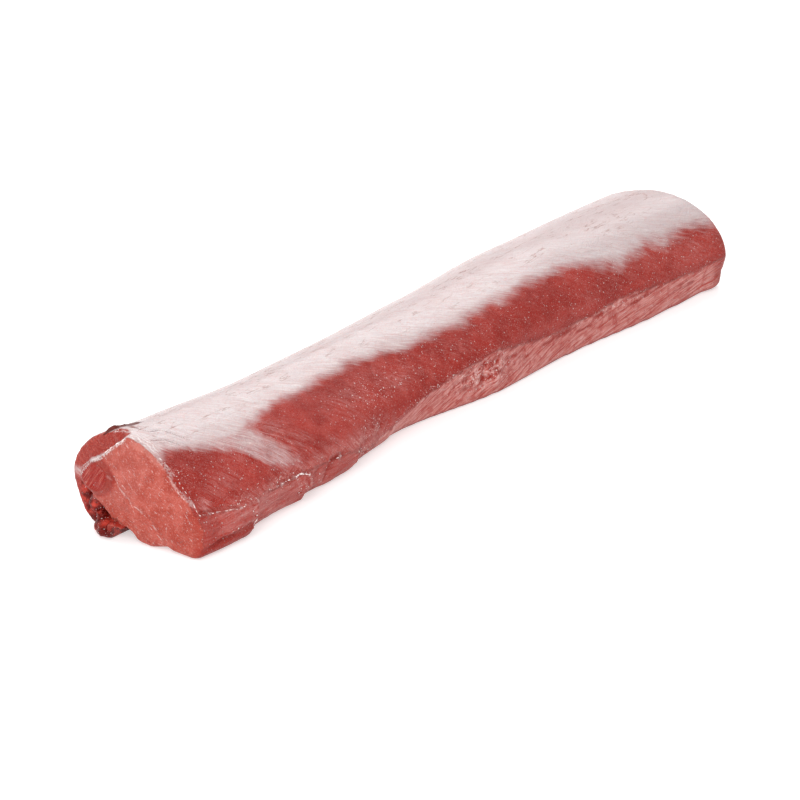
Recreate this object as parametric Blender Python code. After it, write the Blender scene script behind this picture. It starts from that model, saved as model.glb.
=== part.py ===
"""A raw venison striploin with its silverskin left on, lying on the side that was cut from the bone.

Metres, +Z up. The loin runs along X: the thick cut end is at -X, the thin end at +X. The -Y flank is the
trimmed one, and the side muscle lies along the +Y flank. The origin is the middle of the base.
"""

import math
from typing import NamedTuple

import bmesh
import bpy
from mathutils import Euler, Vector, noise

MM = 0.001
LENGTH = 515 * MM  # between the edges of the two cut ends
RIM_RADIUS = 3 * MM  # the rounded edge round each cut end
END_DOME = 2 * MM  # how far the middle of a cut end stands out
WAVE_HEIGHT = 0.8 * MM  # slow unevenness of the flanks
WAVE_LENGTH = 34 * MM
STEPS_ALONG = 54
CLOSEST_RINGS = 1.2 * MM
STEPS_TOP = 15  # points from the crown to either flank
STEPS_FOOT = 7  # points from a flank down to the base
STEPS_BASE = 9
RIM_RINGS = 3
FACE_RINGS = 5
LUMP_LIFT = 0.3 * MM  # the torn bits hang this far off the ground


class Section(NamedTuple):
    """One slice of the loin, in millimetres. front is the -Y flank and back the +Y flank.

    A fullness of 2 gives an elliptical quarter, 1 a straight chamfer and less than 1 a hollow.
    """

    share: float  # of the length, from the thick end
    crown: float  # how far to the front the highest point is
    height: float
    front: float
    front_height: float
    back: float
    back_height: float
    front_foot: float
    back_foot: float
    front_full: float
    back_full: float
    front_foot_full: float
    back_foot_full: float


SECTIONS = (
    Section(0.00, -9, 63, 42, 18, -51, 30, 35, -34, 1.42, 1.85, 2.2, 1.6),
    Section(0.05, -10, 60, 43, 19, -50, 30, 37, -34, 1.50, 1.60, 1.8, 1.6),
    Section(0.14, -10, 57, 43, 20, -49, 28, 33, -34, 1.60, 1.50, 1.4, 1.6),
    Section(0.26, -8, 54, 41, 20, -48, 26, 32, -35, 1.70, 1.50, 1.3, 1.6),
    Section(0.40, -6, 53, 35, 18, -47, 24, 24, -35, 1.80, 1.55, 1.0, 1.7),
    Section(0.56, -2, 54, 41, 29, -48, 24, 38, -36, 1.80, 1.65, 0.7, 1.7),
    Section(0.72, 0, 56, 43, 26, -51, 23, 40, -39, 1.90, 1.65, 0.7, 1.8),
    Section(0.86, 3, 55, 50, 22, -51, 22, 48, -41, 2.00, 1.65, 0.8, 1.8),
    Section(1.00, 6, 54, 57, 19, -50, 21, 50, -42, 2.05, 1.65, 1.0, 1.8),
)
# The near face left of the seam is set back: across and up, from the seam's top down to the base.
SEAM = ((-7, 62), (-14, 55), (-21, 49), (-27, 44), (-33, 41), (-38, 36), (-39, 31))
LOBE_EDGE = ((-37, 28), (-31, 25), (-24, 19), (-18, 12), (-11, 7), (-4, 2), (0, -3))
SIDE_SETBACK = 5 * MM
# The hollow between the lobe of the main muscle and the loose flap of the side muscle.
FLAP_WALL = ((-36, -3), (-37, 4), (-41, 10), (-43, 17), (-43, 24), (-41, 28))
HOLLOW_EDGE = ((-39, 27), (-32, 24), (-25, 18), (-19, 11), (-12, 6), (-5, 1), (-1, -3))
HOLLOW_DEPTH = 26 * MM
HOLLOW_END_SIZE = 0.35  # of the hollow's mouth


class Flap(NamedTuple):
    """A loose leaf of meat at the foot of the front flank, lifting until it ends, in millimetres."""

    start: float
    end: float
    lift: float  # how far its free end stands out
    top: float  # the height where it is grown to the flank
    slant: float  # how much further along its end is at the top


FLAPS = (
    Flap(-60, 42, 5.5, 25, 4),
    Flap(46, 94, 4.5, 22, 6),
    Flap(98, 146, 3.5, 17, 6),
    Flap(152, 190, 3.0, 12, 5),
)
FLAP_DROP = 3.0  # the length over which a flap's free end falls back to the flank
FLAP_FOLD = 7.0  # the height over which a flap blends into the flank
FLAP_UNDERCUT = 0.35  # of a flap's lift that is lost where it meets the ground
UNDERCUT_HEIGHT = 5.0
FLAP_REACH = 15 * MM  # only points further to the front than this are moved


class Lump(NamedTuple):
    """A soft torn bit standing out of the surface, in millimetres and degrees."""

    along: float  # from the thick end
    across: float  # towards the front
    up: float
    half_length: float
    half_width: float
    half_height: float
    turn: float
    tilt: float
    roughness: float


LUMPS = (
    Lump(7, -30, 17, 11, 6, 9, 0, 0, 1.6),
    Lump(2, -20, 4.5, 11, 13, 5.5, -25, 0, 1.4),
    Lump(14, -10, 4, 14, 10, 5, 0, 0, 1.0),
    Lump(286, 38, 15, 9, 4, 9, 0, 0, 1.2),
    Lump(506, 49, 7, 12, 5.5, 8, -6, 0, 0.5),
)


def between_sections(share: float) -> Section:
    """The slice at this share of the length, on smooth curves through the given slices."""
    last = len(SECTIONS) - 1
    i = max(k for k in range(last) if SECTIONS[k].share <= share or k == 0)
    a, b = SECTIONS[i], SECTIONS[i + 1]
    before, after = SECTIONS[max(i - 1, 0)], SECTIONS[min(i + 2, last)]
    width = b.share - a.share
    t = (share - a.share) / width
    rise, settle = (2 * t - 3) * t * t + 1, (3 - 2 * t) * t * t
    leave, arrive = (t - 1) ** 2 * t, (t - 1) * t * t
    values = []
    for k in range(len(a)):
        slope_a = (b[k] - before[k]) / (b.share - before.share) * width
        slope_b = (after[k] - a[k]) / (after.share - a.share) * width
        values.append(rise * a[k] + settle * b[k] + leave * slope_a + arrive * slope_b)
    return Section(*values)


def quarter(middle, reach, fullness, steps, start, end):
    """Points on a quarter of a superellipse, from the angle start up to but not at the angle end."""
    power = 2 / fullness
    points = []
    for k in range(steps):
        angle = start + (end - start) * k / steps
        c, s = math.cos(angle), math.sin(angle)
        across = middle[0] + reach[0] * math.copysign(abs(c) ** power, c)
        up = middle[1] + reach[1] * math.copysign(abs(s) ** power, s)
        points.append((across, up))
    return points


def slice_outline(share: float):
    """The slice's outline as (across, up) in metres, from the crown down the front flank and round."""
    s = between_sections(share)
    right_angle = math.pi / 2
    ring = quarter(
        (s.crown, s.front_height), (s.front - s.crown, s.height - s.front_height),
        s.front_full, STEPS_TOP, right_angle, 0,
    )
    ring += quarter(
        (s.front_foot, s.front_height), (s.front - s.front_foot, s.front_height),
        s.front_foot_full, STEPS_FOOT, 0, -right_angle,
    )
    base = s.back_foot - s.front_foot
    ring += [(s.front_foot + base * k / STEPS_BASE, 0.0) for k in range(STEPS_BASE)]
    ring += quarter(
        (s.back_foot, s.back_height), (s.back_foot - s.back, s.back_height),
        s.back_foot_full, STEPS_FOOT, -right_angle, -math.pi,
    )
    ring += quarter(
        (s.crown, s.back_height), (s.crown - s.back, s.height - s.back_height),
        s.back_full, STEPS_TOP, math.pi, right_angle,
    )
    return [(across * MM, up * MM) for across, up in ring]


def flap_lift(along: float, up: float) -> float:
    """How far the flaps stand out of the front flank, all three in millimetres."""
    lift = 0.0
    for flap in FLAPS:
        end = flap.end + flap.slant * up / flap.top
        if flap.start < along < end + FLAP_DROP and up < flap.top:
            rise = min((along - flap.start) / (end - flap.start), 1.0) ** 1.5
            fall = 1 - max(along - end, 0.0) / FLAP_DROP
            blend = min((flap.top - up) / FLAP_FOLD, 1.0)
            foot = 1 - FLAP_UNDERCUT * max(1 - up / UNDERCUT_HEIGHT, 0.0)
            lift += flap.lift * rise * fall * blend * foot
    return lift


def with_flaps(outline, along: float):
    """The outline, in metres, with its lower front flank moved out by the flaps."""
    spread = []
    for across, up in outline:
        if across > FLAP_REACH:
            across += flap_lift(along / MM, up / MM) * MM
        spread.append((across, up))
    return spread


def stations():
    """Distances along the loin for its rings, closer together where a flap ends."""
    marks = {LENGTH * k / STEPS_ALONG for k in range(STEPS_ALONG + 1)}
    for flap in FLAPS:
        for step in (-1, 1.5, 4, 6.5, 9):
            marks.add((flap.end + step) * MM)
    kept = []
    for mark in sorted(marks):
        if not kept or mark - kept[-1] > CLOSEST_RINGS:
            kept.append(mark)
    return kept


def place(along: float, across: float, up: float) -> Vector:
    """A point from its distance from the thick end, its distance to the front and its height."""
    return Vector((along, -across, up))


def cap_rings(outline, along: float, outward: float):
    """Rings from a cut end's rim to its middle: a rounded edge, then a face that is slightly domed."""
    middle_across = sum(a for a, _ in outline) / len(outline)
    middle_up = sum(u for _, u in outline) / len(outline)
    reach = max(math.hypot(a - middle_across, u - middle_up) for a, u in outline)
    shares = []
    for k in range(1, RIM_RINGS + 1):
        angle = math.pi / 2 * k / RIM_RINGS
        shares.append((1 - RIM_RADIUS * (1 - math.cos(angle)) / reach, RIM_RADIUS * math.sin(angle)))
    flat = shares[-1][0]
    for k in range(1, FACE_RINGS):
        inner = 1 - k / FACE_RINGS
        shares.append((flat * inner, RIM_RADIUS + END_DOME * (1 - inner * inner)))
    rings = []
    for size, out in shares:
        rings.append([
            place(
                along + outward * out,
                middle_across + (a - middle_across) * size,
                middle_up + (u - middle_up) * size,
            )
            for a, u in outline
        ])
    tip = place(along + outward * (RIM_RADIUS + END_DOME), middle_across, middle_up)
    return rings, tip


def mesh_from_rings(name: str, rings, first_tip: Vector, last_tip: Vector) -> bpy.types.Object:
    """A closed body through rings of points, with a tip at each end."""
    mesh = bmesh.new()
    rows = [[mesh.verts.new(p) for p in ring] for ring in rings]
    tips = [mesh.verts.new(first_tip), mesh.verts.new(last_tip)]
    count = len(rows[0])
    for lower, upper in zip(rows, rows[1:]):
        for k in range(count):
            m = (k + 1) % count
            mesh.faces.new((lower[k], lower[m], upper[m], upper[k]))
    for k in range(count):
        m = (k + 1) % count
        mesh.faces.new((tips[0], rows[0][m], rows[0][k]))
        mesh.faces.new((tips[1], rows[-1][k], rows[-1][m]))
    bmesh.ops.recalc_face_normals(mesh, faces=mesh.faces)
    data = bpy.data.meshes.new(name)
    mesh.to_mesh(data)
    mesh.free()
    return bpy.data.objects.new(name, data)


def wave(point: Vector) -> float:
    """Slow unevenness of the meat at a point, from -1 to 1."""
    return noise.noise(Vector((point.x / WAVE_LENGTH / 1.6, point.y / WAVE_LENGTH, point.z / WAVE_LENGTH)))


def build_loin() -> bpy.types.Object:
    """The whole loin, before the thick end is worked."""
    rings = []
    for along in stations():
        outline = with_flaps(slice_outline(along / LENGTH), along)
        rings.append([place(along, a, u) for a, u in outline])
    near_rings, near_tip = cap_rings(with_flaps(slice_outline(0.0), 0.0), 0.0, -1)
    far_rings, far_tip = cap_rings(slice_outline(1.0), LENGTH, 1)
    loin = mesh_from_rings("loin", near_rings[::-1] + rings + far_rings, near_tip, far_tip)
    for vertex in loin.data.vertices:
        lift = WAVE_HEIGHT * wave(vertex.co) * min(vertex.co.z / (10 * MM), 1)
        vertex.co += vertex.normal * lift
    return loin


def build_prism(name: str, outline, start: float, end: float, end_size: float) -> bpy.types.Object:
    """A block of this outline (in millimetres) along the loin, shrunk about its middle at its far end."""
    middle_across = sum(a for a, _ in outline) / len(outline)
    middle_up = sum(u for _, u in outline) / len(outline)
    rings = []
    for along, size in ((start, 1.0), (end, end_size)):
        rings.append([
            place(
                along,
                (middle_across + (a - middle_across) * size) * MM,
                (middle_up + (u - middle_up) * size) * MM,
            )
            for a, u in outline
        ])
    mesh = bmesh.new()
    near, far = ([mesh.verts.new(p) for p in ring] for ring in rings)
    mesh.faces.new(near)
    mesh.faces.new(far)
    for k in range(len(near)):
        m = (k + 1) % len(near)
        mesh.faces.new((near[k], near[m], far[m], far[k]))
    bmesh.ops.recalc_face_normals(mesh, faces=mesh.faces)
    data = bpy.data.meshes.new(name)
    mesh.to_mesh(data)
    mesh.free()
    return bpy.data.objects.new(name, data)


def build_lump(name: str, lump: Lump, levels: int) -> bpy.types.Object:
    """A rough ellipsoid for a torn bit of meat."""
    mesh = bmesh.new()
    bmesh.ops.create_icosphere(mesh, subdivisions=levels, radius=1)
    turn = Euler((math.radians(lump.tilt), 0, math.radians(lump.turn)))
    middle = place(lump.along * MM, lump.across * MM, lump.up * MM)
    for vertex in mesh.verts:
        p = vertex.co.copy()
        p = Vector((p.x * lump.half_length, p.y * lump.half_width, p.z * lump.half_height)) * MM
        p.rotate(turn)
        p += middle
        step = noise.noise(p / (7 * MM)) * lump.roughness * MM
        vertex.co = p + (p - middle).normalized() * step
        vertex.co.z = max(vertex.co.z, LUMP_LIFT)
    data = bpy.data.meshes.new(name)
    mesh.to_mesh(data)
    mesh.free()
    return bpy.data.objects.new(name, data)


def combine(body: bpy.types.Object, tools, operation: str) -> None:
    """Apply one Boolean of the body with a collection of tools, and remove the tools."""
    group = bpy.data.collections.new("workshop")
    bpy.context.scene.collection.children.link(group)
    for tool in tools:
        group.objects.link(tool)
        tool.hide_render = True
        tool.display_type = "WIRE"
    step = body.modifiers.new(operation.lower(), "BOOLEAN")
    step.operation = operation
    step.operand_type = "COLLECTION"
    step.collection = group
    step.solver = "EXACT"
    bpy.context.view_layer.objects.active = body
    bpy.ops.object.modifier_apply(modifier=step.name)
    for tool in tools:
        bpy.data.objects.remove(tool)
    bpy.data.collections.remove(group)


def raw_meat() -> bpy.types.Material:
    """Deep red raw venison."""
    material = bpy.data.materials.new("raw_venison")
    material.use_nodes = True
    shader = material.node_tree.nodes["Principled BSDF"]
    shader.inputs["Base Color"].default_value = (0.34, 0.07, 0.06, 1)
    shader.inputs["Roughness"].default_value = 0.4
    return material


def main() -> None:
    """Build the striploin."""
    for old in list(bpy.data.objects):
        bpy.data.objects.remove(old)
    group = bpy.data.collections.new("venison_striploin")
    bpy.context.scene.collection.children.link(group)

    striploin = build_loin()
    striploin.name = "striploin"
    group.objects.link(striploin)
    seam_and_outside = SEAM + LOBE_EDGE + ((-90, -3), (-90, 90), (-7, 90))
    set_back = build_prism("set_back", seam_and_outside, -20 * MM, SIDE_SETBACK, 1.0)
    hollow = build_prism("hollow", HOLLOW_EDGE + FLAP_WALL, -8 * MM, HOLLOW_DEPTH, HOLLOW_END_SIZE)
    combine(striploin, [set_back, hollow], "DIFFERENCE")
    lumps = [build_lump(f"lump_{k}", lump, 3) for k, lump in enumerate(LUMPS)]
    combine(striploin, lumps, "UNION")

    corners = [Vector(corner) for corner in striploin.bound_box]
    low = Vector(min(c[k] for c in corners) for k in range(3))
    high = Vector(max(c[k] for c in corners) for k in range(3))
    shift = Vector(((low.x + high.x) / 2, (low.y + high.y) / 2, low.z))
    for vertex in striploin.data.vertices:
        vertex.co -= shift
    for face in striploin.data.polygons:
        face.use_smooth = True
    striploin.data.materials.clear()
    striploin.data.materials.append(raw_meat())


main()
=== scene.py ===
"""A raw venison striploin: red meat under a pale silverskin, lying on the side that was cut from the bone."""

import logging
import math
from dataclasses import dataclass, field
from enum import Enum

import bmesh
import bpy
import numpy as np
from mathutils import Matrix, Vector


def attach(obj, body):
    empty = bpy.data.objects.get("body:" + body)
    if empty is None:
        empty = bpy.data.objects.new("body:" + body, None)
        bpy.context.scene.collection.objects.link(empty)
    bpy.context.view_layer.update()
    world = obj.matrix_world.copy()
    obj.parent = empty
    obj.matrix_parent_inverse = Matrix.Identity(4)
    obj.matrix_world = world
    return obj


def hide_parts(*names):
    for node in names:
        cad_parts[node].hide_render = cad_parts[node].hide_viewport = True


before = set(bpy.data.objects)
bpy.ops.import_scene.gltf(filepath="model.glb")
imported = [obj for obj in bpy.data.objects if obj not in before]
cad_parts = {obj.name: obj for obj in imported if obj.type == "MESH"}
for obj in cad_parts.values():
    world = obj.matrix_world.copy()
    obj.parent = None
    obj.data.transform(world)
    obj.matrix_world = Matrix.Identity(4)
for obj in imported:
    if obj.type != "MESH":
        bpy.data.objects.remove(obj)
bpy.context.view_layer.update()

MM = 0.001
NODE = "striploin"
BODY = "root"

logging.basicConfig(level=logging.INFO, format="%(name)s: %(message)s")
LOG = logging.getLogger("striploin")


# Fields over the meat


def lattice_noise(points: np.ndarray, seed: int) -> np.ndarray:
    """Smooth gradient noise on a lattice of size one.

    Args:
        points: An array of places, one row each.
        seed: The draw to use.

    Returns:
        One value a place, from about -1 to 1.
    """
    base = np.floor(points).astype(np.int64)
    part = points - base
    fade = part * part * part * (part * (part * 6 - 15) + 10)
    total = np.zeros(len(points))
    for corner in range(8):
        step = np.array([(corner >> k) & 1 for k in range(3)])
        cell = base + step
        key = (cell[:, 0] * 73856093) ^ (cell[:, 1] * 19349663) ^ (cell[:, 2] * 83492791)
        key = (key ^ (seed * 2654435761)) & 0x7FFFFFFF
        key = ((key ^ (key >> 13)) * 1274126177) & 0x7FFFFFFF
        key = key ^ (key >> 15)
        offset = part - step
        value = np.zeros(len(points))
        for axis in range(3):
            value += (((key >> (10 * axis)) & 1023) / 511.5 - 1) * offset[:, axis]
        total += value * np.prod(np.where(step == 1, fade, 1 - fade), axis=1)
    return total * 1.4


def layered_noise(points: np.ndarray, seed: int, layers: int = 3) -> np.ndarray:
    """Several layers of noise, each finer and fainter.

    Args:
        points: An array of places, one row each.
        seed: The draw to use.
        layers: How many layers.

    Returns:
        One value a place, from about -1 to 1.
    """
    total = np.zeros(len(points))
    for layer in range(layers):
        total += lattice_noise(points * 2.0**layer, seed + layer) / 1.9**layer
    return total


def ease(value: np.ndarray, low: float, high: float) -> np.ndarray:
    """A smooth rise from 0 at low to 1 at high."""
    t = np.clip((value - low) / (high - low), 0.0, 1.0)
    return t * t * (3 - 2 * t)


def line_distance(points: np.ndarray, line: tuple) -> np.ndarray:
    """How far each point is from a broken line.

    Args:
        points: Places in millimetres, one row each.
        line: The line's corners in millimetres.

    Returns:
        One distance in millimetres for each point.
    """
    nearest = np.full(len(points), 1e9)
    corners = [np.array(corner, float) for corner in line]
    for start, end in zip(corners, corners[1:]):
        run = end - start
        share = np.clip(((points - start) @ run) / (run @ run), 0, 1)
        nearest = np.minimum(nearest, np.linalg.norm(points - start - share[:, None] * run, axis=1))
    return nearest


def nearest_line(points: np.ndarray, lines: tuple) -> np.ndarray:
    """How far each point is from the nearest of these lines."""
    return np.minimum.reduce([line_distance(points, line) for line in lines])


def add_object(name: str, data: bpy.types.ID) -> bpy.types.Object:
    """A new object in the scene."""
    made = bpy.data.objects.new(name, data)
    bpy.context.scene.collection.objects.link(made)
    return made


def shaped(thing: bpy.types.Object) -> bpy.types.Mesh:
    """A plain mesh of what an object's modifiers make."""
    return bpy.data.meshes.new_from_object(thing.evaluated_get(bpy.context.evaluated_depsgraph_get()))


# The top of the trimmed foot of the front flank: distance along, height. Millimetres.
FOOT_TOP = (
    (-10, 26), (1, 25.5), (12, 24), (26, 21.5), (60, 21), (95, 20), (118, 17), (135, 16), (150, 12),
    (165, 4), (177, 9), (198, 13), (214, 20), (237, 24), (259, 27), (283, 29), (309, 25), (340, 21),
    (372, 20), (391, 21), (409, 24), (433, 23), (457, 21), (482, 20), (507, 21), (520, 20),
)


@dataclass(frozen=True)
class Places:
    """Where points are on the loin, in millimetres and degrees.

    along is the distance from the thick end's edge, front the distance to the front of the middle, up the
    height, and turn the angle round the loin from the crown, positive down the front flank.
    """

    along: np.ndarray
    front: np.ndarray
    up: np.ndarray
    turn: np.ndarray
    normal: np.ndarray

    THICK_END = -255.05
    MIDDLE = 2.8
    AXIS_FRONT = -4.0
    AXIS_UP = 18.0
    GIRTH_RADIUS = 42.0
    # How steeply the silverskin's fibres cross the thick end, and how that falls off along the loin.
    LEAN = 1.10
    LEAN_FALL = 0.00062
    # The way the fibres run on the cut face: towards the front, and down.
    CUT_WAY = (0.74, 0.68)
    # Where the foot also counts as trimmed, by the angle from the crown.
    FOOT_TURN = 108

    @classmethod
    def of(cls, points: np.ndarray, normal: np.ndarray) -> "Places":
        """The places of points given in metres."""
        along = points[:, 0] / MM - cls.THICK_END
        front = -(points[:, 1] / MM - cls.MIDDLE)
        up = points[:, 2] / MM
        turn = np.degrees(np.arctan2(front - cls.AXIS_FRONT, up - cls.AXIS_UP))
        return cls(along, front, up, turn, normal)

    def stack(self) -> np.ndarray:
        """The places as rows of along, front and up."""
        return np.stack([self.along, self.front, self.up], axis=1)

    def flat(self) -> np.ndarray:
        """The places as rows of front and up, all at the thick end's edge."""
        return np.stack([np.zeros(len(self.up)), self.front, self.up], axis=1)

    @classmethod
    def point(cls, along: float, front: float, up: float) -> Vector:
        """The point in metres for a place in millimetres."""
        return Vector(((along + cls.THICK_END) * MM, (cls.MIDDLE - front) * MM, up * MM))

    def girth(self) -> np.ndarray:
        """The distance round the loin from the crown, in millimetres."""
        return np.radians(self.turn) * self.GIRTH_RADIUS

    def fibre(self, face: np.ndarray, lobe: np.ndarray) -> np.ndarray:
        """Rows of distance along the meat's fibres, distance across them, and depth.

        The silverskin's fibres cross the loin steeply at the thick end and lie almost along it at the thin
        end. The trimmed strip's slant up it, and the cut face's run down to the front.

        Args:
            face: How far each place is on a cut face.
            lobe: How far each place is on the fibrous lobe.

        Returns:
            Three millimetre values for each place.
        """
        across = self.girth() - (self.LEAN * self.along - self.LEAN_FALL * self.along**2)
        steps = np.linspace(-20, 540, 561)
        level = self.up - np.interp(self.along, steps, np.cumsum(self.strip_slope(steps)))
        wander = 2.4 * lattice_noise(self.stack() / 24, 71) + 1.1 * lattice_noise(self.stack() / 8, 73)
        level = np.where((self.normal[:, 2] < -0.6) & (self.up < 5), self.front + 0.12 * self.along, level)
        beside = np.where(self.low(), level + 0.15 * wander, across + wander)
        side = np.stack([self.along, beside, self.up * 0.2], axis=1)
        front, up, depth = self.front, self.up, self.along * 0.2
        ahead, down = self.CUT_WAY
        cut = np.stack([front * ahead - up * down, front * down + up * ahead, depth], axis=1)
        fan = np.stack([front * 0.5 + up * 0.86, front * 0.86 - up * 0.5, depth], axis=1)
        cut = cut * (1 - lobe)[:, None] + fan * lobe[:, None]
        cut[:, 1] += 0.5 * wander
        return np.where((face > 0.5)[:, None], cut, side)

    def low(self) -> np.ndarray:
        """Whether each place is on the trimmed foot, below the flaps' top lines and the ridge."""
        top = np.interp(self.along, *zip(*FOOT_TOP))
        return (self.up < top) | (np.abs(self.turn) > self.FOOT_TURN)

    @staticmethod
    def strip_slope(along: np.ndarray) -> np.ndarray:
        """How steeply the trimmed strip's fibres rise at these distances along."""
        return np.interp(along, (0, 150, 200, 280, 350, 515), (0.05, 0.10, 0.60, 0.50, 0.28, 0.16))

    def run(self, face: np.ndarray) -> np.ndarray:
        """The direction of the fibres over the surface, as rows of unit vectors."""
        skin_lean = self.LEAN - 2 * self.LEAN_FALL * self.along
        lean = np.where(self.low(), -self.strip_slope(self.along), skin_lean)
        lengthwise = np.array([1.0, 0.0, 0.0])
        round_about = np.cross(lengthwise, self.normal)
        way = lengthwise + round_about * lean[:, None]
        ahead, down = self.CUT_WAY
        way = np.where((face > 0.5)[:, None], np.array([0.0, -ahead, -down]), way)
        way -= self.normal * (way * self.normal).sum(axis=1)[:, None]
        return way / np.maximum(np.linalg.norm(way, axis=1), 1e-6)[:, None]


@dataclass(frozen=True)
class Landmarks:
    """Lines and patches on the meat, read off the real cut. Millimetres and degrees."""

    # Where the pale silverskin and its painted reflection end on the front flank: distance along, angle from
    # the crown.
    pale_edge: tuple = (
        (-5, 27), (2, 26), (11, 24), (22, 27), (31, 33), (45, 38), (60, 40), (67, 38.5), (75, 34),
        (84, 31), (94, 28), (113, 29), (132, 29), (143, 24.5), (155, 24.5), (176, 26), (195, 30),
        (212, 33.5), (228, 37.5), (249, 41), (266, 44), (296, 43), (313, 43.5), (333, 42.5), (354, 42.6),
        (373, 44.6), (389, 50), (403, 56.5), (420, 60.6), (442, 59.7), (464, 60), (487, 59), (506, 62),
        (520, 65),
    )
    # The tongue of silverskin that reaches down the flank: its lower edge, then its far edge by angle.
    tongue_foot: tuple = ((31, 33), (40, 39), (49, 45), (57, 56), (67, 68), (82, 77), (92, 82))
    tongue_end: tuple = ((30, 62), (38, 67), (45, 69), (52, 72), (60, 77), (66, 81), (76, 85), (85, 86))
    seam: tuple = (
        (0, -7.6, 59.5), (0, -17.3, 51.7), (0, -24.4, 44.8), (0, -29.2, 43.2), (0, -34.2, 37.5),
        (0, -36.6, 33.5),
    )
    # The edge of the main cut face beside the torn hollow: height, front.
    main_edge: tuple = (
        (0, 1.6), (3, -3.8), (6, -7.8), (9, -14.5), (12, -20.6), (16, -22.5), (21, -25.1), (24, -30.5),
        (26, -33.2),
    )
    # The loose flap's inner wall: height, front.
    flap_wall: tuple = ((-3, -36), (4, -37), (10, -41), (17, -43), (24, -43), (28, -41))
    flap_lines: tuple = (
        ((1, 39, 25.5), (12, 41, 24), (26, 44, 21.5), (36, 46, 22)),
        ((44, 44, 26), (44, 47, 20), (42, 47.5, 12), (40, 46, 6)),
        ((64, 43, 21), (77, 43, 21), (88, 43, 21), (95, 44.5, 18), (97, 43, 10), (96, 41, 4)),
        ((113, 38, 6), (115, 40, 13), (116, 41, 17), (128, 41, 17)),
        ((146, 39, 10), (149, 38, 14), (150, 36, 5)),
    )
    # Lumps in the hollow: centre, then half sizes.
    lumps: tuple = ((7, -30, 17, 11, 6, 9), (2, -20, 4.5, 11, 13, 5.5), (14, -10, 4, 14, 10, 5))
    # Cracks in the silverskin at the thick end.
    cracks: tuple = (
        (
            (9.8, -12.5, 61.2), (10, -7.2, 61.2), (13.4, -3.1, 59.8), (20.8, -2, 58.7), (23.8, 2.4, 57),
            (26.4, 7, 54.9), (30.1, 11, 52.8),
        ),
        ((6, 2.6, 58.5), (15.6, 5.2, 56.4), (21, 11.2, 53)),
        ((6, -30, 52), (7, -22, 57), (9, -14, 60.5), (16, -9, 61)),
    )
    # The white edge of the film over the side muscle, and the dark lip that has lifted off it.
    rim_film: tuple = ((5, -21, 58.8), (5, -16, 60.3), (5, -11.5, 61), (5, -5, 61))
    lifted_lip: tuple = (
        (3, -30, 53.5), (5, -25, 57.2), (6.5, -20, 59.8), (10, -16.5, 61), (17, -15.5, 60.6), (27, -15, 59.8),
    )
    lobe_gap: tuple = ((-2, -15, 9.5), (-2, -9, 5.5), (-1, -5, 2.5), (5, -9, 3))
    foot_ledge: tuple = ((1, 41, 7), (14, 44, 8), (28, 46, 8.5), (40, 46.5, 9))
    # How far the main lobe's under edge lies above the table at the thick end: front, height.
    under_edge: tuple = (
        (-18, 8), (-14.5, 7), (-8, 4.6), (-4, 2.6), (1.6, 0.9), (8, 0.2), (14, 1.6), (18.6, 2.8),
        (23, 1.2), (30, 0.6), (36, 0),
    )
    # Lines on the main cut face: front, height.
    face_step: tuple = ((0, -12.4, 33.1), (0, -3.2, 24.9), (0, 7.5, 19.9), (0, 13.4, 12.6), (0, 16.6, 5.2))
    lobe_ridge: tuple = ((0, -18.4, 38.1), (0, -15, 35.5), (0, -11.8, 33.3))
    rim_band: tuple = ((0, -2.3, 58.2), (0, 7.7, 55.4), (0, 14.3, 50.0))
    rim_dots: tuple = (
        (0, 13, 52.5), (0, 20.3, 47.4), (0, 24.2, 41.4), (0, 30.7, 35.5), (0, 36.6, 29.9), (0, 39.8, 26.1),
    )


class Mask(Enum):
    """What an attribute of the meat's surface says about each point."""

    SILVER = "silver"  # millimetres inside the silverskin's edge
    FACE = "face"  # the main muscle's cut face
    SIDE = "side"  # the side muscle's cut face
    WET = "wet"  # the torn wet hollow
    STRIP = "strip"  # meat that was trimmed
    EDGE = "edge"  # white edges of silverskin, along the flaps partly painted highlight
    HAZE = "haze"  # paler film over the red, partly painted sheen
    SHADE = "shade"  # deeper red, partly painted shadow; over 1 a crack
    LOBE = "lobe"  # the dark fibrous lobe on the cut face
    GLINT = "glint"  # how thickly white dots and flecks lie: painted glints, with pale fibres and torn bits


@dataclass(frozen=True)
class Spot:
    """A soft oval patch on the flank: centre and half size along the loin and round it, and its strength."""

    along: float
    turn: float
    half_along: float
    half_turn: float
    strength: float

    def over(self, at: Places) -> np.ndarray:
        """Its strength at each place."""
        off_along = (at.along - self.along) / self.half_along
        off_turn = (at.turn - self.turn) / self.half_turn
        return self.strength * np.exp(-(off_along**2 + off_turn**2))


# Patches of paler film over the red, partly painted sheen.
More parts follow.
